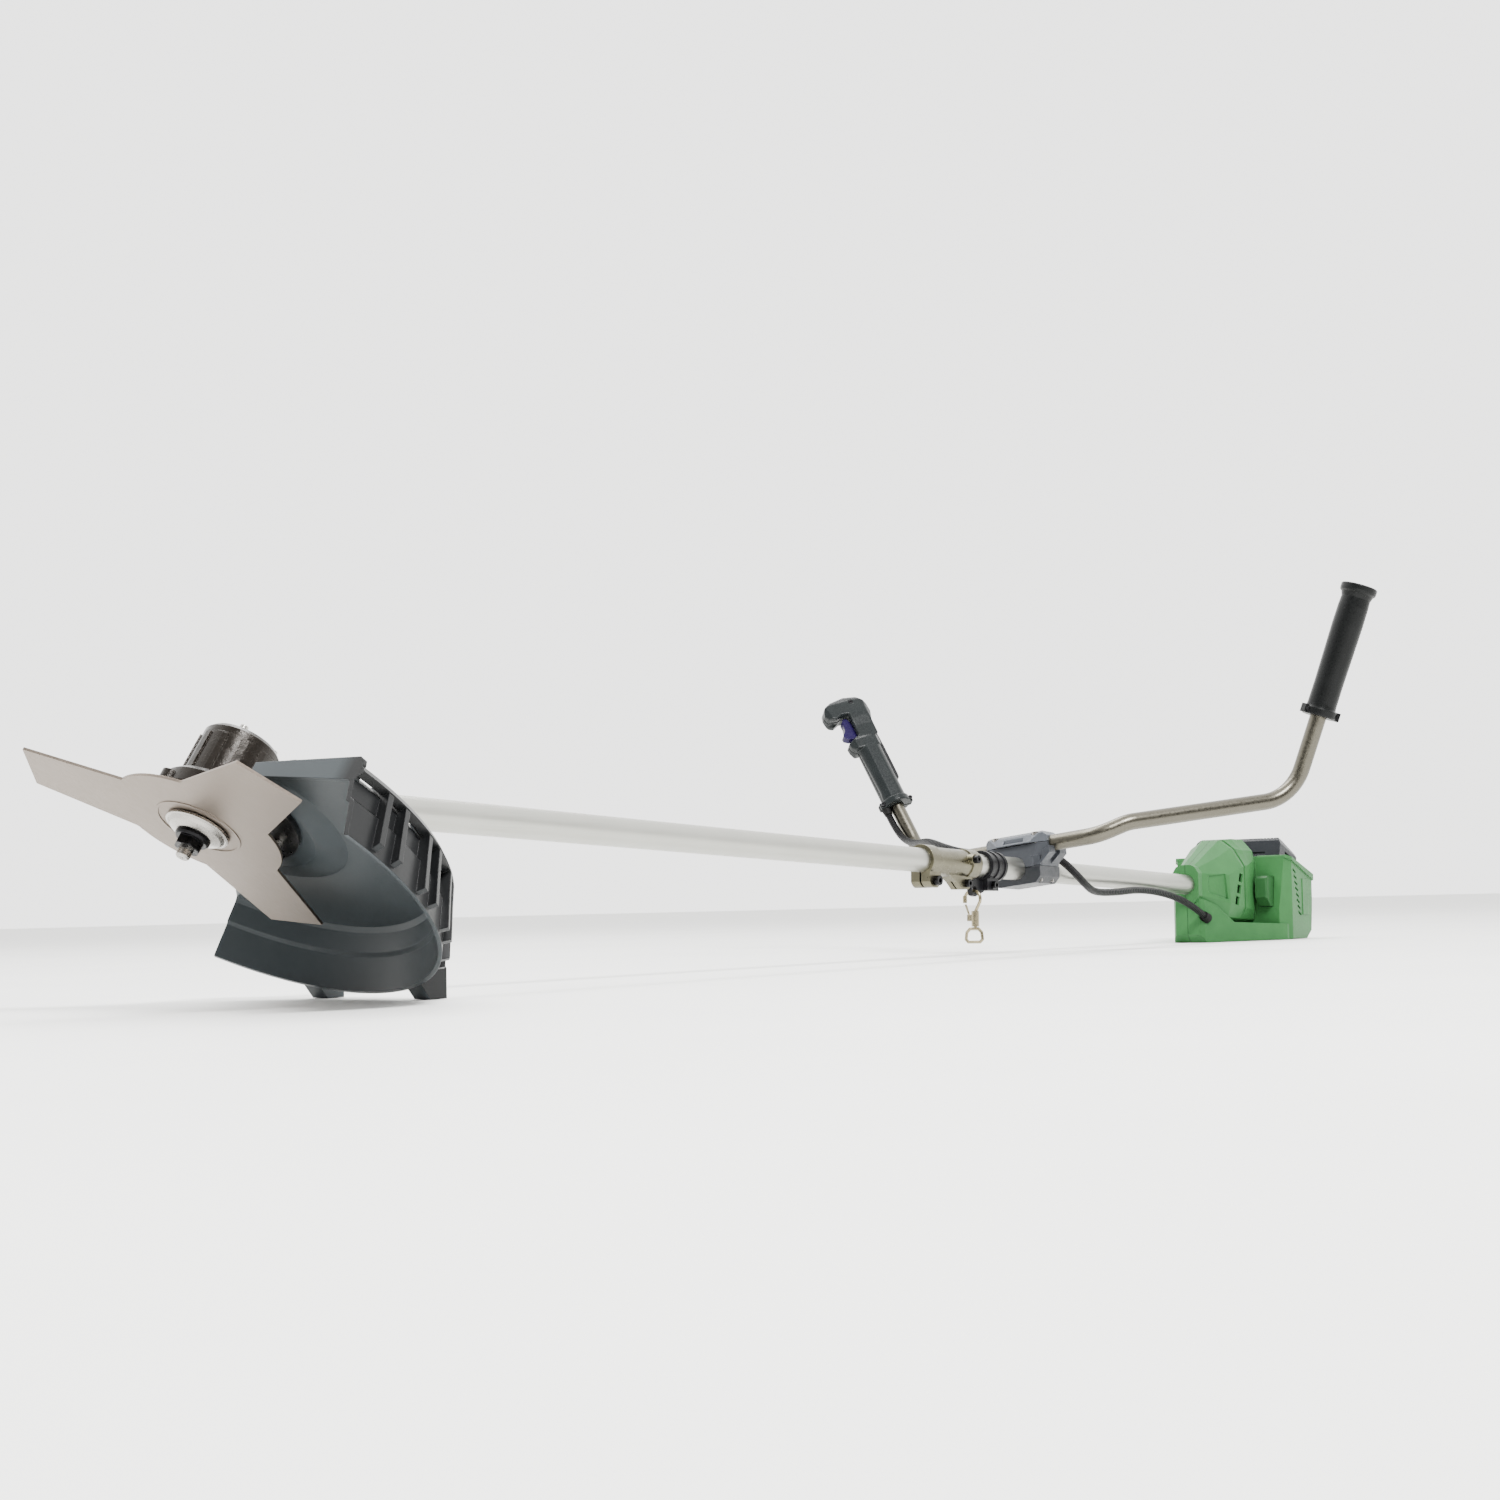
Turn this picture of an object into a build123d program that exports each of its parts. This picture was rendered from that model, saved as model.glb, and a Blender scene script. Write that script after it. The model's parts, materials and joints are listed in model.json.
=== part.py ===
from build123d import *
"""Battery brush cutter with a bike handle, a three-tooth blade and a rear motor housing.

Everything is drawn in the machine frame: the origin is where the drive shaft's axis meets the
blade spindle's axis, +X runs up the tube to the motor, +Z is up and +Y is the right hand side.
At the end the machine is laid on the floor as it rests: on the guard's feet and the housing.
"""
import math
import os

# ---- driving dimensions, millimetres and degrees ------------------------------------------
SHAFT_TILT = 2.568          # the motor end lies a little lower than the gear head
SHAFT_HEIGHT = 147.05       # shaft axis above the floor at the gear head
HEAD_ANGLE = 59.7           # between the shaft and the upward spindle axis
BLADE_DROP = 25.6           # from the shaft axis down the spindle to the blade
BLADE_R = 127.5
BLADE_T = 2.0
ARBOR_R = 12.7
TUBE_R, TUBE_BORE_R = 13.0, 11.5
SHAFT_R = 4.0
TUBE_START, TUBE_JOINT, TUBE_END = 46.0, 988.0, 1598.0
PINION_TEETH, CROWN_TEETH = 12, 24
CONE_OUT, CONE_IN = 20.0, 14.0
BAR_X, BAR_R, BAR_WALL = 1127.0, 9.5, 1.6
BAR_ROLL = -6.46            # the bar sits rolled on the tube, left end high
GRIP_LEN = 158.0
GUARD_OFFSET = 20.0         # guard's centre behind the blade's centre
HOUSING_START = 1558.0
WALL = 3.0
BATTERY_TILT = 17.6
CABLE_R = 4.5
RUN = 0.06                  # radial running clearance of shafts in their bores
GAP = 0.4                   # clearance between moulded pieces that move

os.makedirs("parts", exist_ok=True)
LOW = (Align.CENTER, Align.CENTER, Align.MIN)
parts = {}


# ---- helpers ------------------------------------------------------------------------------
def rod(start, end, radius):
    """Round bar between two points."""
    a, b = Vector(*start), Vector(*end)
    return Plane(origin=a, z_dir=b - a) * Cylinder(radius, (b - a).length, align=LOW)


def ring(start, end, outer, inner):
    """Tube between two points."""
    a, b = Vector(*start), Vector(*end)
    step = (b - a).normalized()
    return rod(a, b, outer) - rod(a - step, b + step, inner)


def block(x, y, z):
    """Box from (low, high) pairs."""
    size = [high - low for low, high in (x, y, z)]
    mid = [(high + low) / 2 for low, high in (x, y, z)]
    return Pos(*mid) * Box(*size)


def slab(points, frame, low, high):
    """Flat outline drawn in a frame's XY plane, filled between two heights."""
    face = Pos(0, 0, low) * Polygon(*points, align=None)
    return frame * extrude(face, high - low, dir=(0, 0, 1))


SIDE = Plane(origin=(0, 0, 0), x_dir=(1, 0, 0), z_dir=(0, -1, 0))
FRONT = Plane(origin=(0, 0, 0), x_dir=(0, 1, 0), z_dir=(1, 0, 0))


def side_prism(points, half_width):
    """Outline in X and Z, as wide as half_width each side of the middle."""
    return slab(points, SIDE, -half_width, half_width)


def plan_prism(points, low, high):
    """Outline in X and Y between two heights."""
    return slab(points, Plane.XY, low, high)


def front_prism(points, start, end):
    """Outline in Y and Z between two places along X."""
    return slab(points, FRONT, start, end)


def mirrored(points):
    """Closed outline from the points of its left half, listed front to rear."""
    return points + [(x, -y) for x, y in reversed(points)]


def turned(profile, frame, start=0.0, sweep=360.0):
    """Solid of revolution: profile of (radius, height) about a frame's own Z axis."""
    face = Plane.XZ * Polygon(*profile, align=None)
    return frame * (Rot(0, 0, start) * revolve(face, Axis.Z, sweep))


def wire_tube(points, radii, radius):
    """Round wire along straight runs joined by arcs."""
    path = FilletPolyline(*points, radius=radii) if len(points) > 2 else Line(*points)
    return sweep(Plane(origin=path @ 0, z_dir=path % 0) * Circle(radius), path=path)


def socket_screw(seat, direction, radius, length):
    """Cap screw with a hexagon socket: seat is under the head, direction points out of it."""
    out = Vector(*direction).normalized()
    frame = Plane(origin=Vector(*seat), z_dir=out)
    head = frame * Cylinder(radius * 1.8, radius * 2, align=LOW)
    hexagon = frame * (Pos(0, 0, radius) * extrude(RegularPolygon(radius, 6), radius * 1.2))
    shank = frame * (Rot(180, 0, 0) * Cylinder(radius, length, align=LOW))
    return head + shank - hexagon


def add(name, *solids):
    """Put solids into a node."""
    flat = []
    for shape in solids:
        flat += list(shape.solids())
    parts[name] = flat


# ---- frames -------------------------------------------------------------------------------
head_sin, head_cos = math.sin(math.radians(HEAD_ANGLE)), math.cos(math.radians(HEAD_ANGLE))
SPINDLE_UP = Vector(head_cos, 0, head_sin)
BACKWARD = Vector(head_sin, 0, -head_cos)
blade_frame = Plane(origin=SPINDLE_UP * -BLADE_DROP, x_dir=BACKWARD, z_dir=SPINDLE_UP)
guard_frame = Plane(origin=SPINDLE_UP * -BLADE_DROP + BACKWARD * GUARD_OFFSET,
                    x_dir=BACKWARD, z_dir=SPINDLE_UP)


def floor_height(x):
    """Height of the floor in the machine frame."""
    tilt = math.radians(SHAFT_TILT)
    return -(SHAFT_HEIGHT - x * math.sin(tilt)) / math.cos(tilt)


# ---- blade and what clamps it -------------------------------------------------------------
def make_blade():
    corners = []
    for arm in range(3):
        for radius, angle in ((62.0, -22.8), (BLADE_R, 0.0), (BLADE_R, 22.0), (60.5, 43.5)):
            turn = math.radians(angle + 120 * arm)
            corners.append((radius * math.cos(turn), radius * math.sin(turn)))
    plate = slab(corners, Plane.XY, -BLADE_T / 2, BLADE_T / 2)
    plate += Pos(0, 0, -BLADE_T / 2) * Cylinder(61.0, BLADE_T, align=LOW)
    arms = plate & Pos(0, 0, -BLADE_T) * Cylinder(BLADE_R + 1, 2 * BLADE_T, align=LOW)
    bead = Pos(0, 0, -BLADE_T / 2 - 0.5) * (Cylinder(31.2, 1.0, align=LOW) - Cylinder(29.4, 1.0, align=LOW))
    hole = Pos(0, 0, -BLADE_T) * Cylinder(ARBOR_R, 2 * BLADE_T, align=LOW)
    return blade_frame * (arms + bead - hole)


def make_spindle():
    stem = [(0, -26), (4.2, -26), (5, -25), (5, 13), (6, 13), (6, 21.5), (5, 21.5), (5, 61), (0, 61)]
    centre_hole = [(0, -27), (1.6, -27), (0, -23)]
    return turned(stem, blade_frame) - turned(centre_hole, blade_frame)


half_blade = BLADE_T / 2
add("blade", make_blade())
add("spindle", make_spindle())
add("drive_flange", turned([(5, half_blade), (25, half_blade), (25, 5), (18, 7), (18, 10.6), (5, 10.6)],
                           blade_frame)
    + turned([(5, -0.8), (ARBOR_R - 0.02, -0.8), (ARBOR_R - 0.02, half_blade + 1),
              (5, half_blade + 1)], blade_frame))
add("rider_plate", turned([(5.1, -1.6), (20, -1.6), (21.6, -1.2), (22.8, -2), (22.8, -3.6), (21.4, -4.2),
                           (20.6, -4), (18.6, -6.4), (13, -8.4), (5.1, -8.4)], blade_frame))
nut_body = blade_frame * (Pos(0, 0, -19) * extrude(RegularPolygon(9.8, 6), 9.5))
nut_cone = turned([(5, -20), (8, -20), (9.9, -17.8), (9.9, -8.4), (5, -8.4)], blade_frame)
nut_skirt = turned([(5, -12.4), (11.2, -12.4), (12.4, -10.6), (12.4, -8.4), (5, -8.4)], blade_frame)
add("blade_nut", (nut_body & nut_cone) + nut_skirt
    - turned([(0, -21), (5, -21), (5, -8), (0, -8)], blade_frame))


# ---- bevel gears --------------------------------------------------------------------------
def bevel_gear(frame, teeth, cone_angle, half_root, half_tip, phase, addendum, dedendum, back, bore):
    """Straight bevel gear: apex at the frame's origin, axis along the frame's Z."""
    lean = math.radians(cone_angle)
    along = Vector(math.sin(lean), 0, math.cos(lean))
    outward = Vector(math.cos(lean), 0, -math.sin(lean))

    def section(reach):
        scale = reach / CONE_OUT
        corners = []
        for side, half, rise in ((-1, half_root, -dedendum - 0.3), (1, half_root, -dedendum - 0.3),
                                 (1, half_tip, addendum), (-1, half_tip, addendum)):
            corners.append(along * reach + outward * rise * scale + Vector(0, side * half * scale, 0))
        return Wire.make_polygon(corners, close=True)

    tooth = Solid.make_loft([section(CONE_IN), section(CONE_OUT)], ruled=True)
    inner = along * CONE_IN - outward * dedendum * (CONE_IN / CONE_OUT)
    outer = along * CONE_OUT - outward * dedendum
    blank = revolve(Plane.XZ * Polygon((0, inner.Z), (inner.X, inner.Z), (outer.X, outer.Z),
                                       (outer.X, back), (0, back), align=None), Axis.Z)
    gear = blank
    for count in range(teeth):
        gear += Rot(0, 0, phase + count * 360 / teeth) * tooth
    return frame * (gear - Pos(0, 0, -1) * Cylinder(bore, 60, align=LOW))


pinion_cone = math.degrees(math.atan2(head_sin, CROWN_TEETH / PINION_TEETH - head_cos))
pinion_frame = Plane(origin=(0, 0, 0), x_dir=(0, 0, -1), z_dir=(1, 0, 0))
crown_frame = Plane(origin=(0, 0, 0), x_dir=BACKWARD, z_dir=-SPINDLE_UP)
add("crown_gear", bevel_gear(crown_frame, CROWN_TEETH, 180 - HEAD_ANGLE - pinion_cone, 1.3, 0.75, 7.5,
                             1.2, 1.9, 7.0, 6.0))
pinion = bevel_gear(pinion_frame, PINION_TEETH, pinion_cone, 1.4, 0.8, 0, 1.2, 1.9, 20.0, 0.1)
pinion_shaft = rod((18, 0, 0), (44, 0, 0), 5.0)
add("pinion_gear", pinion + pinion_shaft - rod((36, 0, 0), (45, 0, 0), SHAFT_R - 0.4))


# ---- gear head ----------------------------------------------------------------------------
def make_gear_case():
    """Cast case in the spindle's own frame, with the neck that takes the tube."""
    low, high = 11.6, 61.5
    body = turned([(0, low), (34, low), (36.5, low + 2.5), (36.5, 24), (33, 27.5), (28, 29), (28, high),
                   (0, high)], blade_frame)
    ribs = [blade_frame * (Rot(0, 0, 30 * k) * (Pos(27.6, 0, 44) * Box(3.2, 5, 32))) for k in range(3, 10)]
    neck = Plane(origin=(6, 0, 0), x_dir=(0, 1, 0), z_dir=(1, 0, 0)) * Cone(26, 19, 46, align=LOW)
    socket = rod((50, 0, 0), (92, 0, 0), 18.5)
    ears = block((62, 88), (-7, 7), (14, 30))
    lugs = [blade_frame * (Rot(0, 0, a) * (Pos(35, 0, low) * Cylinder(6.5, 9, align=LOW)))
            for a in (170, 230, 110)]
    solid = body + neck + socket + ears
    for piece in ribs + lugs:
        solid += piece
    clear_floor = blade_frame * (Pos(0, 0, low) * Cylinder(120, 200, align=LOW))
    solid = solid & clear_floor
    solid -= turned([(0, low + 7), (22.6, low + 7), (22.6, 38), (15, 42), (15, 52), (0, 52)], blade_frame)
    solid -= turned([(0, low - 1), (19, low - 1), (19, low + 1), (14, low + 1), (14, low + 7.1),
                     (0, low + 7.1)], blade_frame)
    solid -= turned([(0, 51), (13, 51), (13, high + 1), (0, high + 1)], blade_frame)
    solid -= rod((6, 0, 0), (TUBE_START, 0, 0), 13.0)
    solid -= rod((TUBE_START - 1, 0, 0), (93, 0, 0), TUBE_R + 0.02)
    solid -= block((60, 93), (-0.9, 0.9), (12, 31))
    for x in (68, 82):
        solid -= rod((x, -8, 23), (x, 8, 23), 2.6)
    for angle in (170, 230, 110):
        solid -= blade_frame * (Rot(0, 0, angle) * (Pos(35, 0, low - 1) * Cylinder(2.1, 9, align=LOW)))
    return solid


add("gear_case", make_gear_case())
cap = turned([(0, 61.5), (28, 61.5), (28, 66), (25.5, 69), (0, 69)], blade_frame)
cap += turned([(0, 58.6), (12.9, 58.6), (12.9, 62), (0, 62)], blade_frame)
cap -= turned([(0, 58), (5.6, 58), (5.6, 61.8), (0, 61.8)], blade_frame)
cap_holes = [blade_frame * (Rot(0, 0, a) * (Pos(21, 0, 60) * Cylinder(1.9, 12, align=LOW)))
             for a in range(45, 360, 90)]
for hole in cap_holes:
    cap -= hole
add("gear_case_cap", cap)


def head_screw(angle, radius, seat, out, size, length):
    """Screw parallel to the spindle, seated at a height on the gear head."""
    turn = math.radians(angle)
    place = (blade_frame.origin + BACKWARD * radius * math.cos(turn)
             + Vector(0, radius * math.sin(turn), 0) + SPINDLE_UP * seat)
    return socket_screw(place, SPINDLE_UP * out, size, length)


for angle in range(45, 360, 90):
    parts["gear_case"] = list((Compound(parts["gear_case"])
                               - blade_frame * (Rot(0, 0, angle) * (Pos(21, 0, 52) * Cylinder(1.7, 10, align=LOW)))
                               ).solids())
add("cap_screws", *[head_screw(a, 21, 69, 1, 1.65, 15) for a in range(45, 360, 90)])
add("case_screws", *[head_screw(a, 35, 11.6, -1, 2.0, 6) for a in (170, 230, 110)])
add("neck_clamp_screws", *[socket_screw((x, -7, 23), (0, -1, 0), 2.5, 14) for x in (68, 82)])
add("spindle_bearings",
    turned([(6 + RUN, 12.8), (13.95, 12.8), (13.95, 18.5), (6 + RUN, 18.5)], blade_frame),
    turned([(5 + RUN, 52.2), (12.95, 52.2), (12.95, 58.4), (5 + RUN, 58.4)], blade_frame))
add("pinion_bearings", ring((24, 0, 0), (31.5, 0, 0), 12.95, 5 + RUN),
    ring((33, 0, 0), (40.5, 0, 0), 12.95, 5 + RUN))


# ---- guard --------------------------------------------------------------------------------
GUARD_OUTLINE = [(0, -210), (-22, -62), (-24, 22), (26, 23), (178, 160), (260, 160), (260, -210)]


def make_guard():
    thick = 3.0
    skin = turned([(0, 20), (62, 20), (84, 25), (150, 23.5), (153.5, 20), (158, 6), (161.5, 4), (170, -20),
                   (173.2, -20), (164.6, 6), (160.8, 8.2), (156.4, 22), (151, 26.6), (84, 28),
                   (61, 23), (0, 23)], guard_frame)
    rib = turned([(96, 27), (150, 25.5), (156, 22), (160, 8), (164, 6), (172, -17), (177.5, -13), (168, 12),
                  (163, 26), (155, 32.5), (96, 31.5)], guard_frame)
    guard = skin
    for centre in range(-88, 44, 17):
        for lean in (-3.1, 3.1):
            fin = guard_frame * (Rot(0, 0, centre + lean) * (Pos(130, 0, 5) * Box(110, 4.6, 90)))
            guard += rib & fin
    guard += turned([(150, 30), (153, 32.5), (157.5, 32.5), (162, 28), (158, 24), (152, 27)], guard_frame)
    guard = guard & slab(GUARD_OUTLINE, blade_frame, -40, 60)
    # upright flap along the front end, low at the gear head and tall at the rim
    strip = slab([(-22, -62), (-4.5, -180), (-1.5, -180), (-19, -62)], blade_frame, 18, 60)
    flap_face = [(-62, 22), (-155, 22), (-155, 34), (-153.5, 38), (-150, 40), (-62, 33)]
    flap = strip & blade_frame * slab(flap_face, FRONT, -60, 40)
    guard += flap
    # feet that stand on the floor
    for low, high in ((-63, -46), (50, 67)):
        foot = side_prism([(118, -98), (150, -104), (161, -118), (162, floor_height(162)),
                           (146, floor_height(146)), (120, -112)], 90)
        guard += foot & block((100, 200), (low, high), (-160, -80)) & outside_skirt()
    guard -= turned([(0, 18), (40, 18), (40, 32), (0, 32)], blade_frame)
    guard -= rod((0, 0, 0), (80, 0, 0), 28)
    for angle in GUARD_SCREW_ANGLES:
        guard -= blade_frame * (Rot(0, 0, angle) * (Pos(52, 0, 10) * Cylinder(2.6, 20, align=LOW)))
    return guard


def outside_skirt():
    """Space outside the guard's skirt."""
    cone = turned([(0, 40), (155, 40), (155.5, 20), (160, 6), (163, 4.5), (171.6, -20), (181, -46),
                   (0, -46)], guard_frame)
    return block((60, 260), (-200, 200), (-190, 60)) - cone


GUARD_SCREW_ANGLES = (-80, -30, 20)
add("guard", make_guard())
bracket = turned([(36.9, 15.4), (66, 15.4), (66, 19.6), (36.9, 19.6)], blade_frame, -98, 146)
for angle in GUARD_SCREW_ANGLES:
    bracket -= blade_frame * (Rot(0, 0, angle) * (Pos(52, 0, 10) * Cylinder(2.55, 20, align=LOW)))
add("guard_bracket", bracket)
add("guard_screws", *[head_screw(a, 52, 15.4, -1, 2.5, 9.5) for a in GUARD_SCREW_ANGLES])

# ---- shaft tube, coupler and drive shaft --------------------------------------------------
add("lower_tube", ring((TUBE_START, 0, 0), (TUBE_JOINT, 0, 0), TUBE_R, TUBE_BORE_R))
add("upper_tube", ring((TUBE_JOINT + 1, 0, 0), (TUBE_END, 0, 0), TUBE_R, TUBE_BORE_R))
bushing_places = (160, 380, 600, 820, 1090, 1300, 1480)
add("shaft_bushings", *[ring((x, 0, 0), (x + 24, 0, 0), TUBE_BORE_R - 0.03, SHAFT_R + RUN)
                        for x in bushing_places])
add("drive_shaft_lower", rod((46.2, 0, 0), (TUBE_JOINT - 4, 0, 0), SHAFT_R)
    + rod((36.4, 0, 0), (46.2, 0, 0), SHAFT_R - 0.42))
shaft_socket = ring((1598.6, 0, 0), (1614, 0, 0), 8.0, SHAFT_R)
add("drive_shaft_upper", rod((TUBE_JOINT - 3.8, 0, 0), (1606, 0, 0), SHAFT_R) + shaft_socket)
add("shaft_joint_sleeve", ring((TUBE_JOINT - 30, 0, 0), (TUBE_JOINT + 24, 0, 0), 7.0, SHAFT_R))


# ---- split-shaft coupler ------------------------------------------------------------------
def make_coupler():
    body = rod((903, 0, 0), (1005, 0, 0), 15.4)
    body += rod((903, 0, 0), (922, 0, 0), 17.0) + rod((986, 0, 0), (1005, 0, 0), 16.6)
    body += block((903, 925), (-12, 12), (-29, -8)) & rod((914, -14, -17), (914, 14, -17), 12.5)
    body += side_prism([(948, -12), (999, -12), (996, -24), (990, -28), (976, -28.5), (966, -21)], 7)
    body += rod((982, -20.5, 4), (982, -8, 4), 6)
    body -= rod((902, 0, 0), (1006, 0, 0), TUBE_R + 0.02)
    body -= block((902, 928), (-1.2, 1.2), (-34, -12))
    body -= block((964, 1006), (-1.0, 1.0), (-33, -12))
    body -= rod((914, -14, -21.5), (914, 14, -21.5), 3.1)
    body -= rod((986, -10, -21.5), (986, 10, -21.5), 2.6)
    body -= rod((982, -24, 4), (982, -12, 4), 2.6)
    return body


add("shaft_coupler", make_coupler())
add("coupler_screws", socket_screw((914, -12, -21.5), (0, -1, 0), 3.0, 24),
    socket_screw((986, -7, -21.5), (0, -1, 0), 2.5, 14), socket_screw((982, -20.5, 4), (0, -1, 0), 2.5, 7))


# ---- harness clamp and snap hook ----------------------------------------------------------
EYE_X, EYE_Z, EYE_R = 1010.0, -27.5, 4.4
HOOK_R = 1.8


def make_harness_clamp():
    clamp = rod((1026, 0, 0), (1060, 0, 0), 15.6)
    for x in (1027, 1041, 1055):
        clamp += rod((x, 0, 0), (x + 4.5, 0, 0), 16.8)
    clamp += block((1027, 1051), (-9, 9), (-27.5, -10))
    clamp += side_prism([(1008, -16), (1030, -16), (1030, -29), (1012, -35), (1005, -34), (1002, -28),
                         (1003, -20)], 2.5)
    clamp -= rod((1025, 0, 0), (1061, 0, 0), TUBE_R + RUN)
    clamp -= block((1025, 1061), (-0.8, 0.8), (-40, -12)) - block((1000, 1026.5), (-3, 3), (-40, 0))
    clamp -= rod((EYE_X, -6, EYE_Z), (EYE_X, 6, EYE_Z), EYE_R)
    clamp -= rod((1039, -10, -21.5), (1039, 10, -21.5), 2.6)
    return clamp


def make_hook():
    top = EYE_Z - 1.0
    points = [(EYE_X, -3, -52), (EYE_X, -9.5, -40), (EYE_X, -9.5, top), (EYE_X, 10, top), (EYE_X, 10, -40)]
    spine = wire_tube(points, [8, 9, 9], HOOK_R)
    nose = rod((EYE_X, 10, -42), (EYE_X, 10, -34), 2.4)
    barrel = rod((EYE_X, -3, -68), (EYE_X, -3, -51), 4.2)
    bore = rod((EYE_X, -3, -69), (EYE_X, -3, -60), 1.8 + RUN)
    lug = block((EYE_X - 3.4, EYE_X + 3.4), (-3, 5.5), (-62, -55))
    lug -= block((EYE_X - 1.5, EYE_X + 1.5), (1.4, 7), (-70, -50))
    lug -= rod((EYE_X - 5, 3.4, -58.5), (EYE_X + 5, 3.4, -58.5), 0.9)
    return spine + nose + barrel + lug - bore


def make_gate():
    pin = rod((EYE_X - 3.3, 3.4, -58.5), (EYE_X + 3.3, 3.4, -58.5), 0.9 - RUN)
    arm = rod((EYE_X, 3.4, -58.5), (EYE_X, 9.2, -43.6), 1.15)
    return pin + arm


def make_strap_loop():
    frame = [(-6, -70.5), (5, -70.5), (9, -74.5), (10, -82), (7, -85), (-8, -85), (-11, -82), (-10, -74.5)]
    corners = [(EYE_X, y - 1, z) for y, z in frame]
    bars = [rod(corners[k], corners[(k + 1) % 8], 1.7) for k in range(8)]
    loop = bars[0]
    for bar in bars[1:]:
        loop += bar
    for corner in corners:
        loop += Pos(*corner) * Sphere(1.7)
    return loop + rod((EYE_X, -3, -70.5), (EYE_X, -3, -60.5), 1.8)


add("harness_clamp", make_harness_clamp())
add("harness_clamp_screw", socket_screw((1039, -9, -21.5), (0, -1, 0), 2.5, 17))
add("snap_hook", make_hook())
add("snap_hook_gate", make_gate())
add("strap_loop", make_strap_loop())

# ---- handlebar and its bracket ------------------------------------------------------------
bar_frame = Rot(BAR_ROLL, 0, 0)
BAR_Z = 27.5
BOLT_X = (BAR_X - 13, BAR_X + 13)
grip_base = (1325.9, 295.8, 145.7)
grip_axis = Vector(10.6, 67.6, 144.7).normalized()
bar_corner = Vector(*grip_base) - grip_axis * 98.7
bar_points = [Vector(BAR_X, 98, BAR_Z - 2), Vector(1148, 126, 37), bar_corner]
BAR_IN_PLAIN_GRIP, BAR_IN_TRIGGER_GRIP = 148.0, 98.0


def make_bar():
    right = bar_points + [Vector(*grip_base) + grip_axis * BAR_IN_TRIGGER_GRIP]
    left = bar_points + [Vector(*grip_base) + grip_axis * BAR_IN_PLAIN_GRIP]
    left = [Vector(spot.X, -spot.Y, spot.Z) for spot in left]
    path = FilletPolyline(*reversed(left), *right, radius=[55, 38, 38, 38, 38, 55])
    start = Plane(origin=path @ 0, z_dir=path % 0)
    outer = sweep(start * Circle(BAR_R), path=path)
    inner = sweep(start * Circle(BAR_R - BAR_WALL), path=path)
    return bar_frame * (outer - inner)


add("handlebar", make_bar())


def make_bracket():
    """Lower body, tube cap and bar cap of the clamp that holds the bar on the tube."""
    split = BAR_Z - 1.0
    footprint = [(1104, -20), (1104, 20), (1114, 40), (1150, 42), (1150, -42), (1114, -40)]
    body = front_prism([(-32, 0), (-34, 8), (-42, 16), (-42, split), (42, split), (42, 16), (34, 8), (32, 0)],
                       1104, 1150)
    wedge = side_prism([(1104, 0), (1109, split), (1145, split), (1150, 0)], 60)
    body = body & wedge & plan_prism(footprint, -40, 80)
    for side in (-1, 1):
        prong = front_prism([(side * 30, 0.4), (side * 45, 13), (side * 45, 21), (side * 37, 17)], 1104, 1150)
        for low, high in ((1107, 1121), (1132, 1148)):
            body += prong & block((low, high), (-60, 60), (0, 40))
        body += block((1106, 1150), (side * 26 - 6, side * 26 + 6), (0.4, 12))
    lower = front_prism([(-32, -0.4), (-31, -12), (-24, -19), (24, -19), (31, -12), (32, -0.4)], 1105, 1151)
    top = BAR_Z + 12.5
    upper = front_prism([(-42, split + 0.8), (-41, BAR_Z + 6), (-34, top), (34, top), (41, BAR_Z + 6),
                         (42, split + 0.8)], 1105, 1149)
    upper = upper & plan_prism(footprint, -40, 80)
    upper = upper & side_prism([(1104, split), (1110, top - 3), (1116, top), (1140, top - 1), (1149, split)], 60)
    upper -= block((1100, 1108.6), (-13, 13), (split + 3, top - 3))
    tube_bore = rod((1100, 0, 0), (1155, 0, 0), TUBE_R + 0.02)
    bar_bore = rod((BAR_X, -60, BAR_Z - 2), (BAR_X, 60, BAR_Z - 2), BAR_R + 0.02)
    bolt_bores = [rod((x, y, -30), (x, y, 60), 2.6) for x in BOLT_X for y in (-26, 26)]
    head_pockets = [rod((x, y, top - 5.6), (x, y, 60), 5.0) for x in BOLT_X for y in (-26, 26)]
    upper = upper - Compound(head_pockets)
    results = []
    for piece in (body, lower, upper):
        piece = piece - tube_bore - bar_bore
        for bore in bolt_bores:
            piece -= bore
        results.append(bar_frame * piece)
    return results


bracket_base, bracket_tube_cap, bracket_bar_cap = make_bracket()
add("bracket_base", bracket_base)
add("bracket_tube_cap", bracket_tube_cap)
add("bracket_bar_cap", bracket_bar_cap)
add("bracket_screws", *[bar_frame * socket_screw((x, y, BAR_Z + 6.9), (0, 0, 1), 2.5, 52)
                        for x in BOLT_X for y in (-26, 26)])


# ---- plain grip, left hand ----------------------------------------------------------------
def grip_frame(side, front):
    """Frame at the foot of a grip: Z up the grip, -X towards the fingers."""
    base = Vector(grip_base[0], side * grip_base[1], grip_base[2])
    up = Vector(grip_axis.X, side * grip_axis.Y, grip_axis.Z)
    frame = Plane(origin=base, x_dir=Vector(*front).cross(up).cross(up), z_dir=up)
    return bar_frame * frame.location


left_grip = grip_frame(-1, (-1, 0, 0))
right_grip = grip_frame(1, (-0.75, 0.65, 0))
XZ = Plane.XZ


SERRATION_TURN = -52
LUG_TURNS = ((145, 1), (-62, -1))


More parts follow.
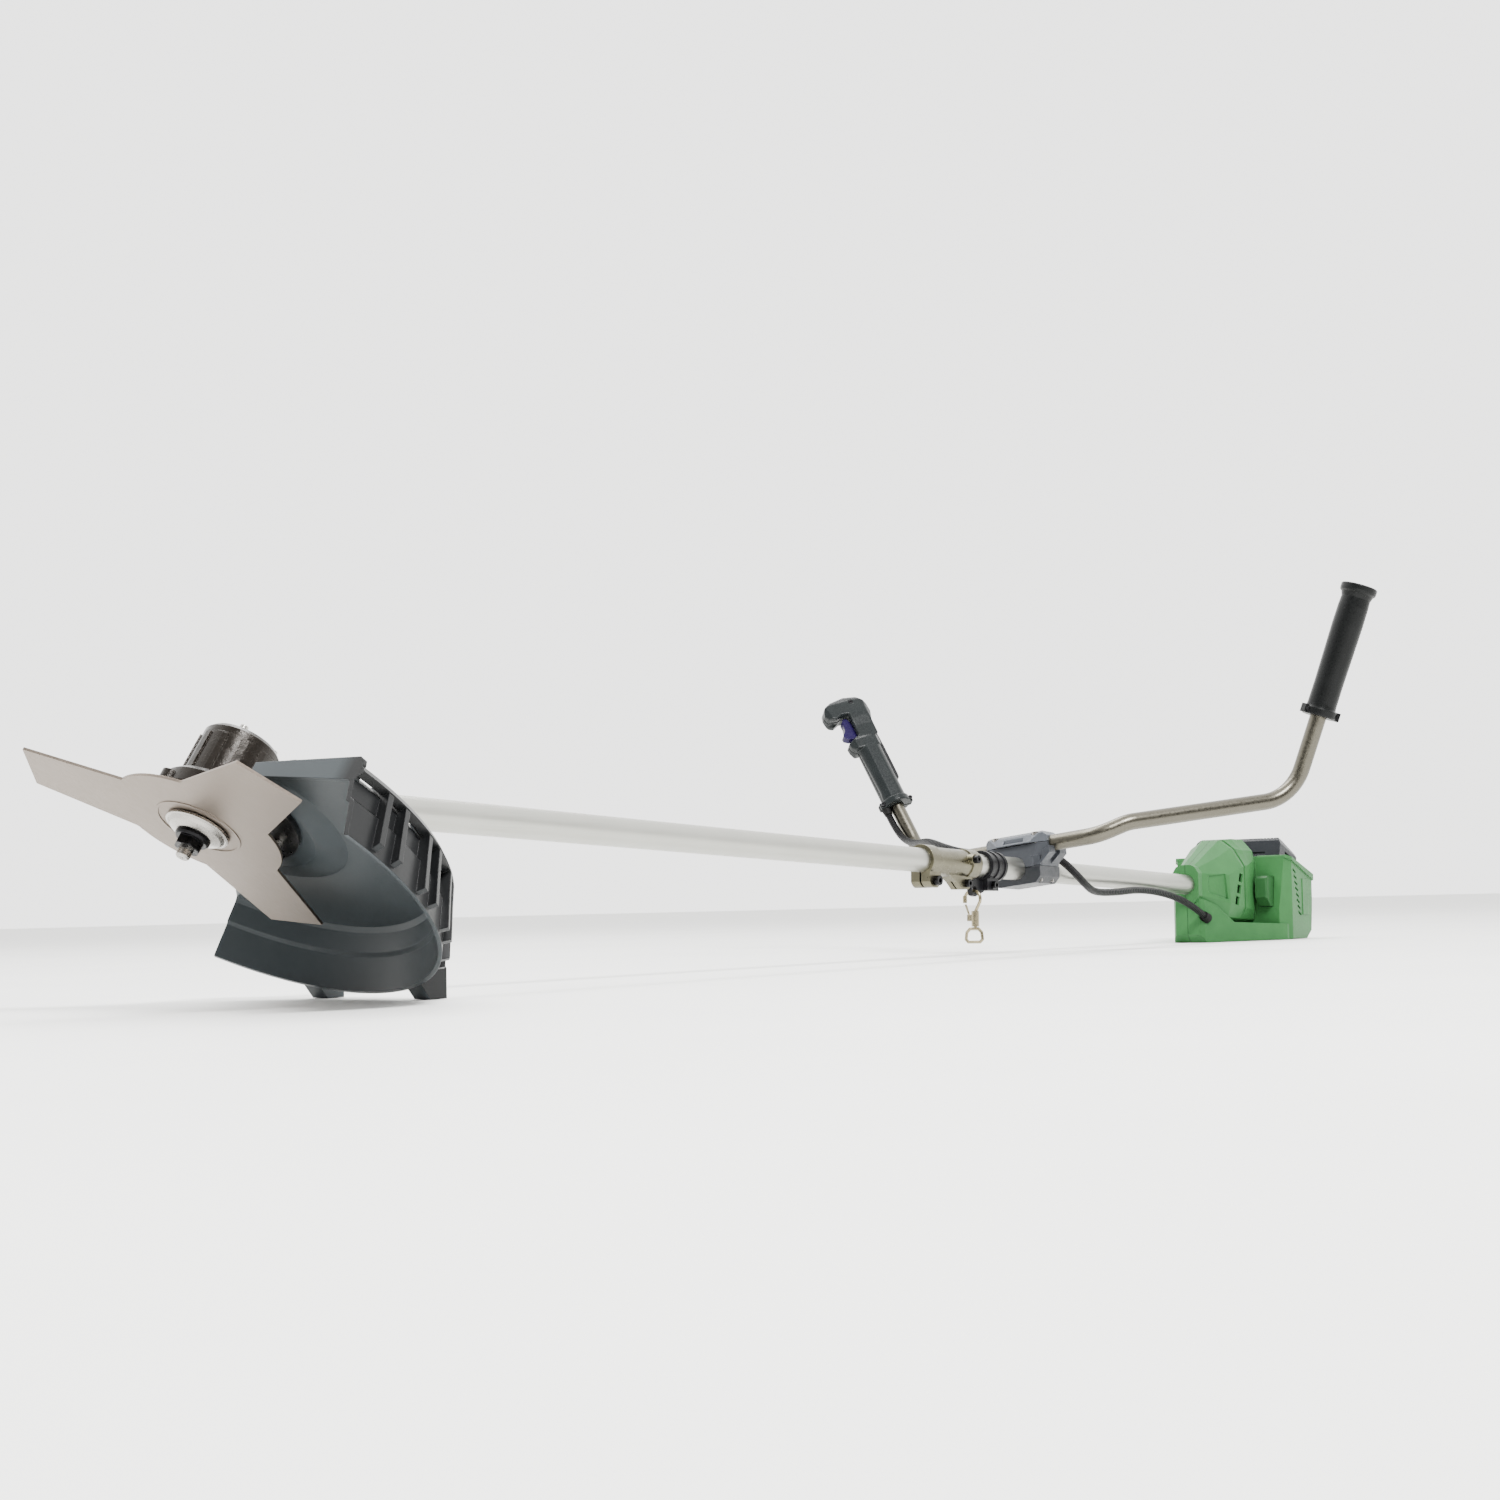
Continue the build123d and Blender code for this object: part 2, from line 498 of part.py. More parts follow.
def make_plain_grip():
    profile = [(0, 0), (18.6, 0), (20, 1.5), (20, 8), (19, 9.5), (17, 10.5), (16.6, 14), (16.4, 40), (16.9, 75),
               (17.4, 110), (17.2, 132), (16.6, 143), (18.2, 148), (20.3, 150), (20.7, 152), (20.7, 157),
               (19.8, GRIP_LEN), (0, GRIP_LEN)]
    body = revolve(XZ * Polygon(*profile, align=None), Axis.Z)
    for turn, way in LUG_TURNS:
        body += Rot(0, 0, turn) * (Pos(18.5, 0, 5) * Box(9, 9, 10))
        body -= Rot(0, 0, turn) * (Pos(19.6, 6 * way, 5) * (Rot(90 * way, 0, 0) * Cylinder(1.7, 12, align=LOW)))
    for level in range(24, 136, 4):
        if level not in (76, 80):
            body -= Rot(0, 0, SERRATION_TURN) * (Pos(18.0, 0, level) * Box(5.2, 15, 1.9))
    for level in (78, 141):
        body -= Rot(0, 0, SERRATION_TURN - 14) * (Pos(14.5, 0, level) * (Rot(0, 90, 0) * Cylinder(2.0, 9, align=LOW)))
    body -= Cylinder(BAR_R + 0.03, 150.5, align=LOW)
    return left_grip * body


add("plain_grip", make_plain_grip())
plain_screws = []
for turn, way in LUG_TURNS:
    local = Rot(0, 0, turn) * (Pos(19.6, 4.5 * way, 5) * (Rot(-90 * way, 0, 0) * Cylinder(2.9, 2.4, align=LOW)
                                                         + Rot(90 * way, 0, 0) * Cylinder(1.6, 9, align=LOW)))
    plain_screws.append(left_grip * local)
add("plain_grip_screws", *plain_screws)


# ---- trigger grip, right hand: two half shells --------------------------------------------
GRIP_SIDE = [(-16.5, -4), (-15, 14), (-16, 78), (-25, 90), (-26, 97), (-16, 101), (-9, 104), (-9, 140),
             (-19, 141), (-29, 136), (-38, 140), (-41, 148), (-38, 158), (-27, 165), (-5, 170), (12, 166),
             (24, 153), (26, 140), (19, 124), (17, 60), (17, -4)]


TRIGGER_HINGE, LEVER_HINGE, PIN_R = (-3, 108), (15, 118), 1.5
GRIP_FOOT = 10.0


def make_trigger_grip():
    outline = slab(GRIP_SIDE, SIDE, -15, 15)
    depth = slab([(-15, -8), (-16, 60), (-15, 100), (-14, 118), (-15.5, 140), (-13, 160), (-8, 172), (8, 172),
                  (13, 160), (15.5, 140), (14, 118), (15, 100), (16, 60), (15, -8)], FRONT, -60, 60)
    body = outline & depth
    handle = Pos(0.5, 0, -8) * extrude(Ellipse(17.2, 16.4), 98)
    hook = slab([(-27, -7), (-18, -14), (12, -15), (18, -8), (18, 8), (12, 15), (-18, 14), (-27, 7)],
                Plane.XY, 84, 106)
    crown = slab([(-42, -7), (-34, -15.5), (17, -15.5), (26, -7), (26, 7), (17, 15.5), (-34, 15.5),
                  (-42, 7)], Plane.XY, 100, 180)
    body = body & (handle + hook + crown)
    body += Pos(0, 0, -GRIP_FOOT) * Cylinder(20.5, 9, align=LOW)
    for turn in (0, 180):
        body += Rot(0, 0, turn) * (Pos(19, 0, 4.5 - GRIP_FOOT) * Box(9, 12, 9))
    body -= Pos(0, 0, -GRIP_FOOT - 1) * Cylinder(BAR_R + 0.03, 103 + GRIP_FOOT, align=LOW)
    body -= slab([(-60, 103.4), (3, 103.4), (3, 114), (-2, 118), (-2, 132), (-8, 139.5), (-60, 139.5)],
                 SIDE, -6.4, 6.4)
    body -= slab([(6, 108), (13, 108), (13, 146), (-6, 150), (-10, 143), (-4, 140), (6, 132)], SIDE, -9, 9)
    body -= slab([(12.5, 28), (21, 28), (21, 122), (12.5, 122)], SIDE, -5.4, 5.4)
    body -= Pos(2, 20, 158) * (Rot(90, 0, 0) * Cylinder(1.7, 40, align=LOW))
    for turn in (0, 180):
        body -= Rot(0, 0, turn) * (Pos(20, 8, 4.5 - GRIP_FOOT) * (Rot(90, 0, 0) * Cylinder(1.7, 16, align=LOW)))
    for x, z in (TRIGGER_HINGE, LEVER_HINGE):
        body -= Pos(x, 10, z) * (Rot(90, 0, 0) * Cylinder(PIN_R, 20, align=LOW))
    return body


grip_body = make_trigger_grip()
half_space = Pos(0, 100, 100) * Box(200, 200, 400)
add("trigger_grip_outer_shell", right_grip * (grip_body & half_space))
add("trigger_grip_inner_shell", right_grip * (grip_body - half_space))

trigger_side = [(-5, 105.6), (-12, 104), (-21, 105.5), (-26.5, 109), (-27, 113), (-22, 119), (-20, 127),
                (-20.5, 134), (-17, 137.5), (-12, 137), (-9, 128), (-6.5, 113), (0, 112.5), (1.5, 108), (-1, 105.2)]
trigger_body = slab(trigger_side, SIDE, -5.6, 5.6)
lever_side = [(17.2, 30), (20.2, 30), (21.0, 36), (21.0, 80), (20.4, 112), (18.5, 119), (16, 120.6),
              (13.6, 119), (13.4, 112)]
lever_body = slab(lever_side, SIDE, -4.9, 4.9)
pivot_pins = []
for name, (x, z), body in (("throttle_trigger", TRIGGER_HINGE, trigger_body),
                           ("lockout_lever", LEVER_HINGE, lever_body)):
    add(name, right_grip * (body - Pos(x, 10, z) * (Rot(90, 0, 0) * Cylinder(PIN_R + RUN, 20, align=LOW))))
    pivot_pins.append(right_grip * (Pos(x, 8, z) * (Rot(90, 0, 0) * Cylinder(PIN_R, 16, align=LOW))))
add("grip_pivot_pins", *pivot_pins)
switch_box = Pos(3, 0, 121) * Box(7, 8, 15)
add("trigger_switch", right_grip * switch_box)
shell_screws = [(2, 158, 10.4), (20, 4.5 - GRIP_FOOT, 6.2), (-20, 4.5 - GRIP_FOOT, 6.2)]
add("trigger_grip_screws", *[right_grip * socket_screw((x, -y, z), (0, -1, 0), 1.6, 2 * y - 2)
                             for x, z, y in shell_screws])

# ---- control cable ------------------------------------------------------------------------
gland_spot = right_grip * Pos(-16.2, 0, -9 - GRIP_FOOT)
cable_route = [tuple(gland_spot.position), tuple((right_grip * Pos(-16.2, 0, -39)).position),
               (1300, 275, 54), (1266, 235, 47), (1224, 193, 47), (1198, 153, 36), (1180, 115, 27),
               (1169, 78, 24), (1166, 42, 28), (1173, 8, 28), (1185, -15, 15), (1200, -27, -2),
               (1221, -29, -15), (1256, -22, -22), (1312, -21, -20), (1375, -20, -14), (1440, -20, -15),
               (1495, -22, -22), (1535, -23, -32), (1562, -23, -41)]


def make_cable(points, radius):
    """Round cable along straight runs joined by arcs as large as the runs allow."""
    spots = [Vector(*point) for point in points]
    runs = [(b - a).length for a, b in zip(spots, spots[1:])]
    radii = []
    for k in range(1, len(spots) - 1):
        turn = (spots[k] - spots[k - 1]).get_angle(spots[k + 1] - spots[k])
        radii.append(0.45 * min(runs[k - 1], runs[k]) / math.tan(math.radians(turn / 2)))
    print("cable runs", [round(run) for run in runs])
    print("cable radii", [round(bend) for bend in radii])
    path = FilletPolyline(*points, radius=radii)
    tube = sweep(Plane(origin=path @ 0, z_dir=path % 0) * Circle(radius), path=path)
    print("cable length", round(path.length, 1), "volume ratio",
          round(tube.volume / (math.pi * radius ** 2 * path.length), 4))
    return tube


add("control_cable", make_cable(cable_route, CABLE_R))
add("grip_cable_gland", gland_spot * Cone(5.2, 6.4, 9, align=LOW))
housing_entry = Vector(*cable_route[-1])
entry_direction = (housing_entry - Vector(*cable_route[-2])).normalized()
housing_gland = Plane(origin=housing_entry, z_dir=entry_direction) * Cone(5.6, 7.0, 12, align=LOW)
add("housing_cable_gland", housing_gland)


# ---- motor housing: two clamshells with the battery bay -----------------------------------
# half outlines of the nose at stations along the shaft, from the top edge round to the bottom
NOSE_STATIONS = (
    (HOUSING_START, [(8, 26), (13.5, 23), (18.5, 15), (18.5, -15), (13.5, -23), (8, -26)]),
    (HOUSING_START + 12, [(8, 26), (13.5, 23), (18.5, 15), (18.5, -15), (13.5, -23), (8, -26)]),
    (1612, [(10, 48), (24, 39), (39, 14), (40, -24), (36, -42), (20, -52)]),
    (1640, [(12, 63), (28.5, 52), (46, 26), (46.5, -28), (40, -44), (20, -53)]),
    (1660, [(21, 66), (37, 50), (46, 30), (46, -30), (40, -44), (20, -53)]),
    (1682, [(28, 66), (42, 50), (44, 36), (43, -30), (40, -44), (20, -53)]),
    (1706, [(22, 56), (34, 44), (37, 30), (37, -30), (36, -44), (20, -53)]),
)
BASE_PLAN = mirrored([(1563, -17), (1569, -22), (1696, -78), (1704, -81), (1770, -81), (1784, -74)])
BASE_FRONT = [(-90, 60), (-90, -62), (-74, -80), (74, -80), (90, -62), (90, 60)]
BAY_PLAN = mirrored([(1693, -60), (1694, -74), (1716, -84), (1788, -84), (1795, -77)])
RIM_FRONT, RIM_REAR = (1704, 43.7), (1792, 17.4)
BAY_SIDE = [(1694, floor_height(1694)), (1694, -30), RIM_FRONT, RIM_REAR, (1783, floor_height(1783) + 11),
            (1766, floor_height(1766))]
BASE_SIDE = [(1563, -18), (1588, -27), (1616, -49), (1780, -50), (1780, floor_height(1780) + 10),
             (1766, floor_height(1766)), (1572, floor_height(1572)), (1563, floor_height(1563) + 10)]


def shrink(points, inset):
    """Outline moved inwards by the wall."""
    return offset(Polygon(*points, align=None), -inset)


def faceted(side, plan, front=None, inset=0.0):
    """Block whose side, plan and front outlines are all given."""
    solid = SIDE * extrude(shrink(side, inset), 120, both=True)
    solid &= Plane.XY * extrude(shrink(plan, inset), 150, both=True)
    if front:
        solid &= FRONT * (Pos(0, 0, 1560) * extrude(shrink(front, inset), 300, both=True))
    return solid


def nose_block(inset=0.0):
    """Tapered nose: flat facets between the stations."""
    sections = []
    for count, (x, half) in enumerate(NOSE_STATIONS):
        if count == 0:
            x += inset
        if count == len(NOSE_STATIONS) - 1:
            x -= inset
        moved = [(max(y - inset, 2.0), z - math.copysign(inset, z)) for y, z in half]
        outline = [(y, z) for y, z in moved] + [(-y, z) for y, z in reversed(moved)]
        sections.append(FRONT * (Pos(0, 0, x) * Polygon(*outline, align=None)))
    return loft(sections, ruled=True)


def housing_block(inset=0.0):
    """The three volumes that make the housing: nose, base and battery bay."""
    base = faceted(BASE_SIDE, BASE_PLAN, BASE_FRONT, inset)
    bay = faceted(BAY_SIDE, BAY_PLAN, BASE_FRONT, inset)
    return nose_block(inset) + base + bay


battery_frame = Plane(origin=(1752, 0, 28.5), x_dir=(1, 0, -math.tan(math.radians(BATTERY_TILT))),
                      z_dir=(math.tan(math.radians(BATTERY_TILT)), 0, 1))
BATTERY_HALF = (30.0, 63.0)
BATTERY_LOW = -78.0


def battery_box(grow):
    """Straight-sided room round the battery, open above."""
    size_x, size_y = (2 * (half + grow) for half in BATTERY_HALF)
    return battery_frame * (Pos(0, 0, BATTERY_LOW - grow) * Box(size_x, size_y, 190, align=LOW))


screw_spots = [(1594, -62, 30), (1650, -60, 57), (1712, -58, 82), (1762, -55, 84), (1630, 38, 33)]
LATCH_Y, LATCH_Z = (-65, -48), (-26, 15)


def make_housing():
    outer = housing_block()
    solid = outer - housing_block(WALL)
    liner = battery_box(GAP + 2.4) & outer
    inner_face = faceted(BAY_SIDE, BAY_PLAN, BASE_FRONT, 1.0)
    solid += liner & inner_face
    bosses = [rod((x, -90, z), (x, 90, z), 4.2) for x, z, _ in screw_spots]
    for boss in bosses:
        solid += boss & outer
    for x in (1574, 1592):
        solid += (block((x, x + 4), (-60, 60), (-60, 60)) & outer)
    for x in (1630, 1676):
        solid += block((x, x + 4), (-34, 34), (-56, -43)) & outer
    solid -= battery_box(GAP)
    # rim round the battery bay
    rim = battery_frame * (Pos(0, 0, -3.0) * Box(100, 178, 9, align=LOW))
    band = faceted([(1690, -30), (1700, 46), (1796, 20), (1796, -30)],
                   mirrored([(1692, -60), (1693, -75), (1714, -86), (1790, -86), (1796, -79)]))
    solid += (rim & band) - battery_box(GAP + 4) - block((1600, 1722), (-40, 40), (-80, 80))
    # parting groove round the hood
    solid -= block((1644, 1648), (-90, 90), (-38, 90)) - nose_block(1.6)
    # tube and cable entries
    solid -= rod((1550, 0, 0), (1600, 0, 0), TUBE_R + 0.02)
    solid -= rod(tuple(housing_entry - entry_direction * 2), tuple(housing_entry + entry_direction * 14), 7.1)
    # cooling slots each side of the nose, louvres and a label panel on the bay's sides
    for side in (-1, 1):
        for count in range(3):
            solid -= Pos(1635.5 - 4.5 * count, side * 46, 11 - 15.5 * count) * (Rot(0, 12, 0) * Box(7, 20, 11.5))
        for count in range(8):
            solid -= Pos(1726 + 2.3 * count, side * 84, 23 - 8.2 * count) * (Rot(0, 24, 0) * Box(11, 9, 3.0))
        solid += block((1752, 1772), sorted((side * 83, side * 85)), (-36, 14))
        panel = slab([(1580, -10), (1580, 12), (1606, 15), (1609, -19)], SIDE, -60, 60)
        strip = [(1572, side * 20.4), (1610, side * 39.4), (1610, side * 36.1), (1572, side * 17.2)]
        solid -= panel & slab(strip, Plane.XY, -60, 60)
    for x, z, half in screw_spots:
        solid -= rod((x, 90, z), (x, half - 7, z), 3.4)
        solid -= rod((x, half - 5, z), (x, -12, z), 1.62)
    # slot for the battery release
    solid -= block((1680, 1703.4), (LATCH_Y[0] - GAP, LATCH_Y[1] + GAP), (LATCH_Z[0] - GAP, LATCH_Z[1] + GAP))
    return solid


housing = make_housing()
left_side = Pos(1680, -100, 0) * Box(400, 200, 400)
add("housing_left_shell", housing & left_side)
add("housing_right_shell", housing - left_side)
add("housing_screws", *[socket_screw((x, half - 7, z), (0, 1, 0), 1.6, 16) for x, z, half in screw_spots])
latch = block((1675, 1699.6), LATCH_Y, LATCH_Z)
latch -= side_prism([(1670, 18), (1681, 18), (1671, 7)], 100)
latch -= side_prism([(1670, -30), (1690, -30), (1671, -10)], 100)
latch -= plan_prism([(1670, -70), (1680, -70), (1672, -58)], -60, 60)
add("battery_release", latch)


# ---- battery pack -------------------------------------------------------------------------
def make_battery():
    half_x, half_y = BATTERY_HALF
    profile = [(-half_x, BATTERY_LOW), (-half_x, 31), (-27, 36), (-13, 36.5), (27, 31.5), (half_x, 28),
               (half_x, BATTERY_LOW)]
    body = side_prism(profile, half_y)
    body &= front_prism([(-half_y, BATTERY_LOW), (-half_y, 27), (-half_y + 6, 38), (half_y - 6, 38),
                         (half_y, 27), (half_y, BATTERY_LOW)], -60, 60)
    for side in (-1, 1):
        body -= Pos(side * half_x, 0, 12) * Box(3, 84, 4)
        body -= Pos(0, side * half_y, -24) * Box(24, 5, 90)
        for count in range(4):
            body -= Pos(0, side * (half_y - 12 - 5 * count), 38) * Box(80, 1.6, 7)
    body -= Pos(4, 0, 37) * Box(26, 60, 6)
    body -= Pos(0, 0, BATTERY_LOW) * Box(24, 64, 8)
    return battery_frame * body


add("battery_pack", make_battery())
terminal = Pos(0, 0, BATTERY_LOW - 0.4) * Box(18, 50, 3.2, align=LOW)
for offset_y in range(-20, 21, 10):
    terminal += Pos(0, offset_y, BATTERY_LOW - 0.4) * Box(12, 1.2, 3.8, align=LOW)
add("battery_terminal_block", battery_frame * terminal)

# ---- motor and electronics ----------------------------------------------------------------
stator = ring((1622, 0, 0), (1654, 0, 0), 27.0, 15.6)
for angle in range(0, 360, 30):
    stator -= Rot(angle, 0, 0) * (Pos(1638, 0, 20) * Box(40, 5.5, 7))
add("motor_stator", stator)
add("motor_rotor", rod((1624, 0, 0), (1652, 0, 0), 15.0) + rod((1606.5, 0, 0), (1676, 0, 0), SHAFT_R))
fan = ring((1661, 0, 0), (1670, 0, 0), 8.0, SHAFT_R) + ring((1661, 0, 0), (1662.5, 0, 0), 27.0, SHAFT_R)
for angle in range(0, 360, 30):
    fan += Rot(angle, 0, 0) * (Pos(1665.5, 0, 17) * (Rot(0, 0, 18) * Box(7, 1.4, 19)))
add("cooling_fan", fan)
mount_plates = [ring((x, 0, 0), (x + 4, 0, 0), 30.0, 11.1) for x in (1616.5, 1656)]
add("motor_mounts", *mount_plates)
add("motor_bearings", *[ring((x, 0, 0), (x + 5, 0, 0), 11.0, SHAFT_R + RUN) for x in (1616, 1655.5)])
board = block((1622, 1690), (-27, 27), (-43, -41))
heat_sink = block((1624, 1654), (-22, 22), (-41, -38))
for count in range(7):
    heat_sink += block((1624, 1654), (-22 + 6.8 * count, -19.6 + 6.8 * count), (-38, -32.5))
add("controller_board", board)
add("controller_heat_sink", heat_sink)

# ---- seats that smaller pieces leave in bigger ones ---------------------------------------
SEATS = (("gear_case", "gear_case_cap"), ("plain_grip", "plain_grip_screws"),
         ("trigger_grip_outer_shell", "trigger_grip_screws"), ("trigger_grip_inner_shell", "trigger_grip_screws"),
         ("trigger_grip_outer_shell", "trigger_switch"), ("trigger_grip_inner_shell", "trigger_switch"))
for outer_name, inner_name in SEATS:
    for inner_solid in parts[inner_name]:
        cut = [solid - inner_solid for solid in parts[outer_name]]
        parts[outer_name] = [max(shape.solids(), key=lambda piece: piece.volume) for shape in cut]

# ---- lay the machine on the floor and write the pieces ------------------------------------
CORD_NODES = ("control_cable",)
rest = Pos(0, 0, SHAFT_HEIGHT) * Rot(0, SHAFT_TILT, 0)
laid = {name: [rest * solid for solid in solids] for name, solids in parts.items()}
box = Compound([solid for name, solids in laid.items() if name not in CORD_NODES
                for solid in solids]).bounding_box()
ORIGIN = Vector((box.min.X + box.max.X) / 2, (box.min.Y + box.max.Y) / 2, box.min.Z)
to_floor = Pos(-ORIGIN.X, -ORIGIN.Y, -ORIGIN.Z) * rest
for name, solids in parts.items():
    export_step(Compound([to_floor * solid for solid in solids]), f"parts/{name}.step")
print("origin moved by", ORIGIN, "size", box.size)
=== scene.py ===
"""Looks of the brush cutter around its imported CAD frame. Lengths are metres."""
import json
import math

import bpy
from mathutils import Matrix, Vector
from mathutils.bvhtree import BVHTree


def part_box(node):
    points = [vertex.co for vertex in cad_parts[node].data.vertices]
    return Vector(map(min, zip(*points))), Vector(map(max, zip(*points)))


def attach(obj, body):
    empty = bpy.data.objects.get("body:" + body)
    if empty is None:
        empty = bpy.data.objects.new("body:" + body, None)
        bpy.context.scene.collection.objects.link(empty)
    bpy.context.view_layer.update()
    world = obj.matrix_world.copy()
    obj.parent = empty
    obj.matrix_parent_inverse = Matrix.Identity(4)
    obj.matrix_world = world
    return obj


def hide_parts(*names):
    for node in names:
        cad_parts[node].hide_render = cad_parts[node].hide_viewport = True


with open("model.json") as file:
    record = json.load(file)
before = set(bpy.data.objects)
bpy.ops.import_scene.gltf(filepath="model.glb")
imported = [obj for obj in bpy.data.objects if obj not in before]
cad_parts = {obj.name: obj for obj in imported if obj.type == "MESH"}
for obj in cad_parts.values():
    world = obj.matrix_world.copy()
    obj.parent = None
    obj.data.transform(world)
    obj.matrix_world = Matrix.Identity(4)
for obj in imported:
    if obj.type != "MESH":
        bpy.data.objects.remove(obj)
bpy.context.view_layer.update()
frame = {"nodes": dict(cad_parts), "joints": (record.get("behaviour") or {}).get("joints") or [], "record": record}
joints = {joint["name"]: joint for joint in frame["joints"]}
slot_of = {sub["node"]: sub["material_slot"] for sub in frame["record"]["subparts"]}

# sockets of the Mix node in its colour mode: the two inputs and the result
MIX_FIRST, MIX_SECOND, MIX_RESULT = 6, 7, 2
BEVEL_SAMPLES = 4
# the brushed metals' spread of brightness, and the depth of their grain
STAIN = 0.08
BRUSHING_DEPTH = 0.00004


# ---- node graphs ----
class Graph:
    """A material's node tree with short names for the nodes used here."""

    def __init__(self, name):
        self.material = bpy.data.materials.new(name)
        self.material.use_nodes = True
        self.tree = self.material.node_tree
        self.shader = self.tree.nodes["Principled BSDF"]
        self.place = self.node("ShaderNodeTexCoord").outputs["Object"]

    def node(self, kind, **values):
        made = self.tree.nodes.new(kind)
        for key, value in values.items():
            setattr(made, key, value)
        return made

    def link(self, start, end):
        self.tree.links.new(start, end)

    def stretched(self, scale, rotation):
        """Object coordinates, turned and then scaled along each axis."""
        mapping = self.node("ShaderNodeMapping", vector_type="POINT")
        mapping.inputs["Rotation"].default_value = rotation
        mapping.inputs["Scale"].default_value = scale
        self.link(self.place, mapping.inputs["Vector"])
        return mapping.outputs["Vector"]

    def noise(self, scale, detail, roughness, vector=None):
        made = self.node("ShaderNodeTexNoise")
        made.inputs["Scale"].default_value = scale
        made.inputs["Detail"].default_value = detail
        made.inputs["Roughness"].default_value = roughness
        self.link(vector or self.place, made.inputs["Vector"])
        return made.outputs["Fac"]

    def ramp(self, value, low, high, out_low=0.0, out_high=1.0):
        """The value mapped from low..high to out_low..out_high, and held at those ends."""
        made = self.node("ShaderNodeMapRange")
        made.inputs["From Min"].default_value = low
        made.inputs["From Max"].default_value = high
        made.inputs["To Min"].default_value = out_low
        made.inputs["To Max"].default_value = out_high
        self.link(value, made.inputs["Value"])
        return made.outputs["Result"]

    def mix(self, factor, first, second):
        """A colour between two, each of which is a colour or a socket."""
        made = self.node("ShaderNodeMix", data_type="RGBA")
        self.link(factor, made.inputs["Factor"])
        for value, socket in ((first, made.inputs[MIX_FIRST]), (second, made.inputs[MIX_SECOND])):
            if hasattr(value, "is_output"):
                self.link(value, socket)
            else:
                socket.default_value = (*value, 1.0)
        return made.outputs[MIX_RESULT]

    def bump(self, height, distance, strength, under=None):
        made = self.node("ShaderNodeBump")
        made.inputs["Strength"].default_value = strength
        made.inputs["Distance"].default_value = distance
        self.link(height, made.inputs["Height"])
        if under is not None:
            self.link(under, made.inputs["Normal"])
        return made.outputs["Normal"]

    def set(self, **values):
        """Sets the shader's inputs, named with _ for a space, to values or sockets."""
        for key, value in values.items():
            socket = self.shader.inputs[key.replace("_", " ")]
            if hasattr(value, "is_output"):
                self.link(value, socket)
            else:
                socket.default_value = value


def shade(color, amount):
    """The colour made darker or brighter by a factor."""
    return tuple(min(1.0, max(0.0, channel * amount)) for channel in color)


def rounded(graph, radius):
    """Normal that rounds sharp edges off by the radius."""
    bevel = graph.node("ShaderNodeBevel", samples=BEVEL_SAMPLES)
    bevel.inputs["Radius"].default_value = radius
    return bevel.outputs["Normal"]


def paler_edges(graph, color, bright, radius, amount):
    """Brightens the surface beside sharp edges."""
    geometry = graph.node("ShaderNodeNewGeometry")
    dot = graph.node("ShaderNodeVectorMath", operation="DOT_PRODUCT")
    graph.link(rounded(graph, radius), dot.inputs[0])
    graph.link(geometry.outputs["Normal"], dot.inputs[1])
    edge = graph.ramp(dot.outputs["Value"], 0.99, 0.86, 0.0, amount)
    return graph.mix(edge, color, bright)


def plastic(name, color, rough=0.5, grain=2600, depth=0.00006, mottled=0.10, edge=0.35,
            edge_radius=0.0009, spread=0.08):
    """Moulded plastic: fine spark-eroded grain, slight mottling and paler edges."""
    graph = Graph(name)
    cloud = graph.ramp(graph.noise(38, 5, 0.6), 0.35, 0.65)
    base = graph.mix(cloud, shade(color, 1 - mottled), shade(color, 1 + mottled))
    base = paler_edges(graph, base, shade(color, 1.9), 0.0009, edge)
    dust = graph.ramp(graph.noise(420, 3, 0.6), 0.3, 0.7, rough - spread, rough + spread)
    fine = graph.bump(graph.noise(grain, 2, 0.5), depth, 0.55, rounded(graph, edge_radius))
    graph.set(Base_Color=base, Roughness=dust, Normal=fine, IOR=1.46, Specular_IOR_Level=0.17)
    graph.base = base
    return graph


def cast_metal(name, color, rough=0.42, metal=1.0, pits=900, depth=0.00012, edge=0.5):
    """Die cast or painted casting: orange peel, pits and bright edges."""
    graph = Graph(name)
    cloud = graph.ramp(graph.noise(24, 6, 0.65), 0.3, 0.7)
    base = graph.mix(cloud, shade(color, 0.86), shade(color, 1.12))
    base = paler_edges(graph, base, shade(color, 1.8), 0.0008, edge)
    broken = graph.ramp(graph.noise(180, 5, 0.65), 0.3, 0.7, rough - 0.09, rough + 0.12)
    coarse = graph.bump(graph.noise(pits * 0.3, 3, 0.5), depth * 1.5, 0.5, rounded(graph, 0.0008))
    fine = graph.bump(graph.noise(pits * 2, 2, 0.5), depth, 0.5, coarse)
    graph.set(Base_Color=base, Roughness=broken, Normal=fine, Metallic=metal)
    return graph


def brushed_metal(name, color, scale, rough, rotation=(0, 0, 0)):
    """Metal with a fine grain. Scale is the grain's along the three axes: uneven makes streaks."""
    graph = Graph(name)
    streaks = graph.noise(1.0, 6, 0.6, graph.stretched(scale, rotation))
    cloud = graph.ramp(graph.noise(14, 5, 0.6), 0.3, 0.7)
    base = graph.mix(cloud, shade(color, 1 - STAIN), shade(color, 1 + STAIN))
    line = graph.ramp(streaks, 0.38, 0.62)
    base = graph.mix(line, base, shade(color, 1.06))
    blur = graph.ramp(streaks, 0.3, 0.7, rough - 0.05, rough + 0.09)
    fine = graph.bump(streaks, BRUSHING_DEPTH, 0.4, rounded(graph, 0.0004))
    graph.set(Base_Color=base, Roughness=blur, Normal=fine, Metallic=1.0)
    return graph


